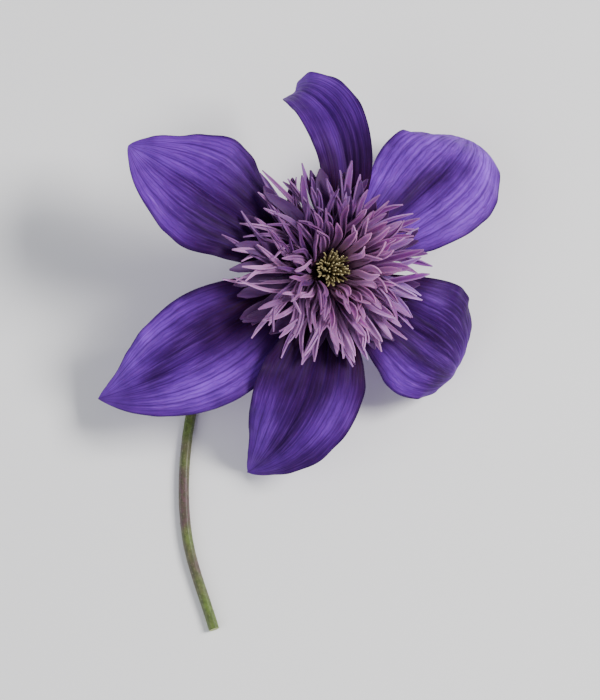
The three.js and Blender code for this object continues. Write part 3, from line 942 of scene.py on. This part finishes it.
def styleSkin():
    material, tree, shader = newMaterial("styleSkin", 0.55, 0.25)
    share, tone = (attributeOf(tree, name) for name in ("share", "tone"))
    colours = knotColours
    lengthwise = ramp(tree, share, [(0.1, colours["root"]), (0.6, colours["middle"]), (1.0, colours["tip"])])
    depth = ramp(tree, maths(tree, "MULTIPLY_ADD", tone, 0.5, 0.5), [(0.0, 0.6), (1.0, 1.0)])
    tree.links.new(blend(tree, 1.0, lengthwise, depth, "MULTIPLY"), shader.inputs["Base Color"])
    addBump(tree, shader, grainOf(tree, 3800, 2), 0.3, 0.05)
    return material


def subdividedRod(sides, cuts):  # radius 1, from z = 0 to z = 1
    deselectAll()
    bpy.ops.mesh.primitive_cylinder_add(vertices=sides, radius=1, depth=1, location=(0, 0, 0.5))
    bpy.ops.object.transform_apply(location=True, rotation=False, scale=False)
    rod = bpy.context.object
    setMode("EDIT")
    bpy.ops.mesh.select_mode(type="EDGE")
    bpy.ops.mesh.select_all(action="DESELECT")
    setMode("OBJECT")
    corners = rod.data.vertices
    for edge in rod.data.edges:
        low, high = (corners[i].co.z for i in edge.vertices)
        edge.select = abs(high - low) > 0.5
    setMode("EDIT")
    bpy.ops.mesh.subdivide(number_cuts=cuts)
    setMode("OBJECT")
    setAttribute(rod, "share", [vertex.co.z for vertex in rod.data.vertices])
    return rod


def modelStyle():
    rod = subdividedRod(knot["sides"], knot["rows"] - 1)
    for row in range(knot["rows"] + 1):
        t = row / knot["rows"]
        radius = lerp(knot["rootWidth"], knot["tipWidth"], t) / 2
        if row == knot["rows"] - 1:
            radius *= knot["knob"]
        pickVertices(rod, lambda co: abs(co.z - t) < near)
        bpy.ops.transform.resize(value=(radius, radius, 1))
        setMode("OBJECT")
    return rod


def layStyle(model, k):
    azimuth = k * goldenAngle + knot["footPlay"] * scatter(k, 11)
    share = math.sqrt((k + 0.5) / knot["count"])
    height = knot["height"] * (1 - knot["edgeDrop"] * share) + knot["play"] * scatter(k, 12)
    reach, bottom = knot["domeRadius"] * share, knot["bottom"]
    ends = (
        polar(azimuth, knot["footSpread"] * reach, bottom + knot["footRise"]),
        polar(azimuth, knot["middleSpread"] * reach, bottom + knot["middleRise"] * height),
        polar(azimuth + knot["tipPlay"] * scatter(k, 13), knot["spread"] * share, bottom + height),
    )
    style = copyOf(model)
    side = polar(azimuth + math.pi / 2, 1, 0)
    for vertex in style.data.vertices:
        x, y, t = vertex.co
        point, tangent = bezier(ends, t)
        out = tangent.cross(side).normalized()
        vertex.co = (headMatrix @ (point + side * x + out * y)) * mm
    setAttribute(style, "tone", [scatter(k, 14)] * len(style.data.vertices))
    return style


def makePistils():
    model = modelStyle()
    styles = [layStyle(model, k) for k in range(knot["count"])]
    bpy.data.objects.remove(model)
    skin = styleSkin()
    for style in styles:
        style.data.materials.append(skin)
    deselectAll()
    bpy.ops.mesh.primitive_uv_sphere_add(segments=knot["domeSides"], ring_count=knot["domeRings"], radius=1)
    dome = bpy.context.object
    radius = knot["domeRadius"]
    for vertex in dome.data.vertices:
        x, y, z = vertex.co
        place = Vector((x * radius, y * radius, knot["bottom"] + max(z, 0) * knot["domeHeight"]))
        vertex.co = (headMatrix @ place) * mm
    dome.data.materials.append(plainSkin("ovaryDome", knotColours["dome"], 0.7))
    piece = joinPieces([*styles, dome], "pistilKnot")
    finishPiece(piece, "pistils")


makePistils()
print("pistils are modelled")


# Receptacle and stalk: one rod, laid along the stalk's course from the flower down

stalk = {
    "radius": 0.93,
    "sides": 24,
    "rows": 190,
    "crowd": 1.5,  # packs the rows towards the receptacle
    "sunk": (0, -3.9, -6.6),  # heights on the head's axis
    "course": [  # a place with no height lies on the surface
        (-0.5, 13.3, 4.6), (-5.7, 11.6, 1.5), (-11.3, 7.2), (-15.7, -0.4), (-18.5, -13.4),
        (-18.3, -28.4), (-13.8, -44),
    ],
    "steps": 24,  # from one place of the course to the next
    "ribs": 6,
    "ribDepth": 0.05,
    "ribsFrom": (4, 9),  # distances from the top over which the ribs come in
    "uneven": 0.03,
    "unevenSides": 2,
    "unevenSpan": 3,
    "pith": 0.5,  # of the radius
    "pithDepth": 0.12,
    "pithEdge": 0.05,
    "hairs": 900,
    "hairSpan": (0.12, 0.99),  # shares of the rows that have hairs
    "hairArc": (0.08, 0.42),  # of a half turn: the lowest hair, and half of how far they go round
    "hairLength": 0.5,
    "hairLengths": (0.75, 0.35),  # what all hairs have of it, and what differs
    "hairWidth": 0.045,
    "hairLean": (0.6, 0.3),  # along the stalk and round it
    "hairFoot": 0.96,  # of the stalk's radius
    "hairPlay": 0.4,
    # radius of the receptacle at distances from its top, in mm
    "outline": [(0, 2.65), (0.35, 3), (2.9, 2.85), (3.9, 2.2), (5.4, 1.3), (6.8, 0.93)],
}
stalkColours = {
    "green": "#5c7030",
    "dark": "#2e3c1a",
    "blush": "#5a3448",
    "pale": "#8a9a58",
    "cut": "#b4bc84",
    "hair": "#a8b088",
}


def stalkSkin():
    material, tree, shader = newMaterial("stalkSkin", 0.45, 0.4)
    share = attributeOf(tree, "share")
    colours = stalkColours
    flushed = ramp(tree, grainOf(tree, 130, 3), [(0.4, 0.0), (0.62, 0.85)])
    mixed = blend(tree, flushed, colours["green"], colours["blush"])
    nearHead = ramp(tree, share, [(0.0, 0.55), (0.25, 0.0)])
    shaded = blend(tree, nearHead, mixed, colours["pale"])
    specks = ramp(tree, grainOf(tree, 1500, 2), [(0.42, 0.0), (0.6, 0.5)])
    tree.links.new(blend(tree, specks, shaded, colours["dark"]), shader.inputs["Base Color"])
    addBump(tree, shader, grainOf(tree, 2600, 3), 0.3, 0.06)
    return material


def stalkPath():  # close points of the stalk's middle line, with each one's distance from the top
    lying = stalk["radius"] * (1 - stalk["ribDepth"])
    points = [headMatrix @ Vector((0, 0, height)) for height in stalk["sunk"]]
    points += [Vector(place) if len(place) == 3 else Vector((*place, lying)) for place in stalk["course"]]
    ends = [2 * points[0] - points[1], *points, 2 * points[-1] - points[-2]]
    path = []
    for a, b, c, d in zip(ends, ends[1:], ends[2:], ends[3:]):
        before, within, after = (math.sqrt((q - p).length) for p, q in ((a, b), (b, c), (c, d)))
        leave = ((b - a) / before - (c - a) / (before + within) + (c - b) / within) * within
        arrive = ((c - b) / within - (d - b) / (within + after) + (d - c) / after) * within
        for i in range(stalk["steps"]):
            t = i / stalk["steps"]
            point = b + leave * t + (3 * (c - b) - 2 * leave - arrive) * t * t
            point += (2 * (b - c) + leave + arrive) * t ** 3
            point.z = max(point.z, lying)
            path.append(point)
    path.append(points[-1])
    distances = [0.0]
    for here, after in zip(path, path[1:]):
        distances.append(distances[-1] + (after - here).length)
    return path, distances


def tableValue(table, x):
    for (x0, y0), (x1, y1) in zip(table, table[1:]):
        if x < x1:
            return lerp(y0, y1, (x - x0) / (x1 - x0))
    return table[-1][1]


def stalkFrames():  # the middle, sideways, upward, radius and distance of each row
    path, distances = stalkPath()
    total = distances[-1]
    frames = []
    for row in range(stalk["rows"] + 1):
        distance = total * (row / stalk["rows"]) ** stalk["crowd"]
        i = max(j for j, d in enumerate(distances[:-1]) if d <= distance)
        share = (distance - distances[i]) / (distances[i + 1] - distances[i])
        tangent = (path[i + 1] - path[i]).normalized()
        if share < 0.5 and i > 0:
            before = (path[i] - path[i - 1]).normalized()
            tangent = (tangent * (0.5 + share) + before * (0.5 - share)).normalized()
        elif share >= 0.5 and i + 2 < len(path):
            after = (path[i + 2] - path[i + 1]).normalized()
            tangent = (tangent * (1.5 - share) + after * (share - 0.5)).normalized()
        side = tangent.cross(Vector((0, 0, 1))).normalized()
        radius = tableValue(stalk["outline"], distance)
        frames.append((path[i].lerp(path[i + 1], share), side, side.cross(tangent), radius, distance))
    return frames, total


def layHair(model, k, frames):
    row = round(lerp(*stalk["hairSpan"], (k + 0.5) / stalk["hairs"]) * (len(frames) - 1))
    point, side, up, radius, distance = frames[row]
    lowest, half = stalk["hairArc"]
    angle = math.pi * (lowest + half * (1 + scatter(k, 21)))  # not on the side that lies on the surface
    out = side * math.cos(angle) + up * math.sin(angle)
    along = up.cross(side)
    alongLean, roundLean = stalk["hairLean"]
    lean = (out + along * alongLean * scatter(k, 22) + side.cross(out) * roundLean).normalized()
    across = lean.cross(along).normalized()
    steady, uneven = stalk["hairLengths"]
    length = stalk["hairLength"] * (steady + uneven * scatter(k, 23))
    foot = point + out * radius * stalk["hairFoot"] + along * stalk["hairPlay"] * scatter(k, 24)
    hair = copyOf(model)
    for vertex in hair.data.vertices:
        x, y, z = vertex.co
        vertex.co = (foot + across * x + lean.cross(across) * y + lean * z * length) * mm
    return hair


def makeHairs(frames):
    deselectAll()
    bpy.ops.mesh.primitive_cone_add(
        vertices=3, radius1=stalk["hairWidth"] / 2, radius2=0, depth=1, location=(0, 0, 0.5)
    )
    bpy.ops.object.transform_apply(location=True, rotation=False, scale=False)
    model = bpy.context.object
    hairs = [layHair(model, k, frames) for k in range(stalk["hairs"])]
    bpy.data.objects.remove(model)
    skin = plainSkin("stalkHair", stalkColours["hair"], 0.6)
    for hair in hairs:
        hair.data.materials.append(skin)
    return hairs


def makeStalk():
    frames, total = stalkFrames()
    rod = subdividedRod(stalk["sides"], stalk["rows"] - 1)
    shares = []
    around, span = stalk["unevenSides"], stalk["unevenSpan"]
    for vertex in rod.data.vertices:
        x, y, z = vertex.co
        point, side, out, radius, distance = frames[round(z * stalk["rows"])]
        angle = math.atan2(y, x)
        ridge = stalk["ribDepth"] * math.cos(stalk["ribs"] * angle) * smoothstep(distance, *stalk["ribsFrom"])
        bulge = stalk["uneven"] * noise.noise(Vector((x * around, y * around, distance / span)))
        grow = radius * (1 + ridge) + bulge
        vertex.co = (point + side * (grow * math.cos(angle)) + out * (grow * math.sin(angle))) * mm
        shares.append(distance / total)
    rod.data.attributes["share"].data.foreach_set("value", shares)
    for vertex in rod.data.vertices:
        vertex.co.z = max(vertex.co.z, 0)  # the ribs under it lie flat on the surface
    makeActive(rod)
    setMode("EDIT")
    bpy.ops.mesh.select_all(action="SELECT")
    bpy.ops.mesh.normals_make_consistent(inside=False)
    setMode("OBJECT")
    rod.data.materials.append(stalkSkin())
    rod.data.materials.append(plainSkin("cutEnd", stalkColours["cut"], 0.7))
    # the cut end's face is the one whose corners all lie at the far end
    far = [share > 0.999 for share in shares]
    makeActive(rod)
    for face in rod.data.polygons:
        face.select = all(far[i] for i in face.vertices)
        if face.select:
            face.material_index = 1
    setMode("EDIT")
    bpy.ops.mesh.select_mode(type="FACE")
    bpy.ops.mesh.inset(thickness=stalk["radius"] * (1 - stalk["pith"]) * mm, depth=0)
    bpy.ops.mesh.inset(thickness=stalk["pithEdge"] * mm, depth=-stalk["pithDepth"] * mm)
    setMode("OBJECT")
    piece = joinPieces([rod, *makeHairs(frames)], "stalkWithReceptacle")
    finishPiece(piece, "peduncle", 40)
    print("the stalk is", round(total), "mm long")


makeStalk()
print("stalk is modelled")


# Floor

ground = {"size": 4, "tint": (0.86, 0.86, 0.87, 1), "roughness": 0.85}  # the size in metres


def makeFloor():
    deselectAll()
    bpy.ops.mesh.primitive_plane_add(size=ground["size"])
    floor = bpy.context.object
    floor.name = floor.data.name = "floor"
    material, tree, shader = newMaterial("paleFloor", ground["roughness"])
    shader.inputs["Base Color"].default_value = ground["tint"]
    floor.data.materials.append(material)


makeFloor()
print("floor is laid")
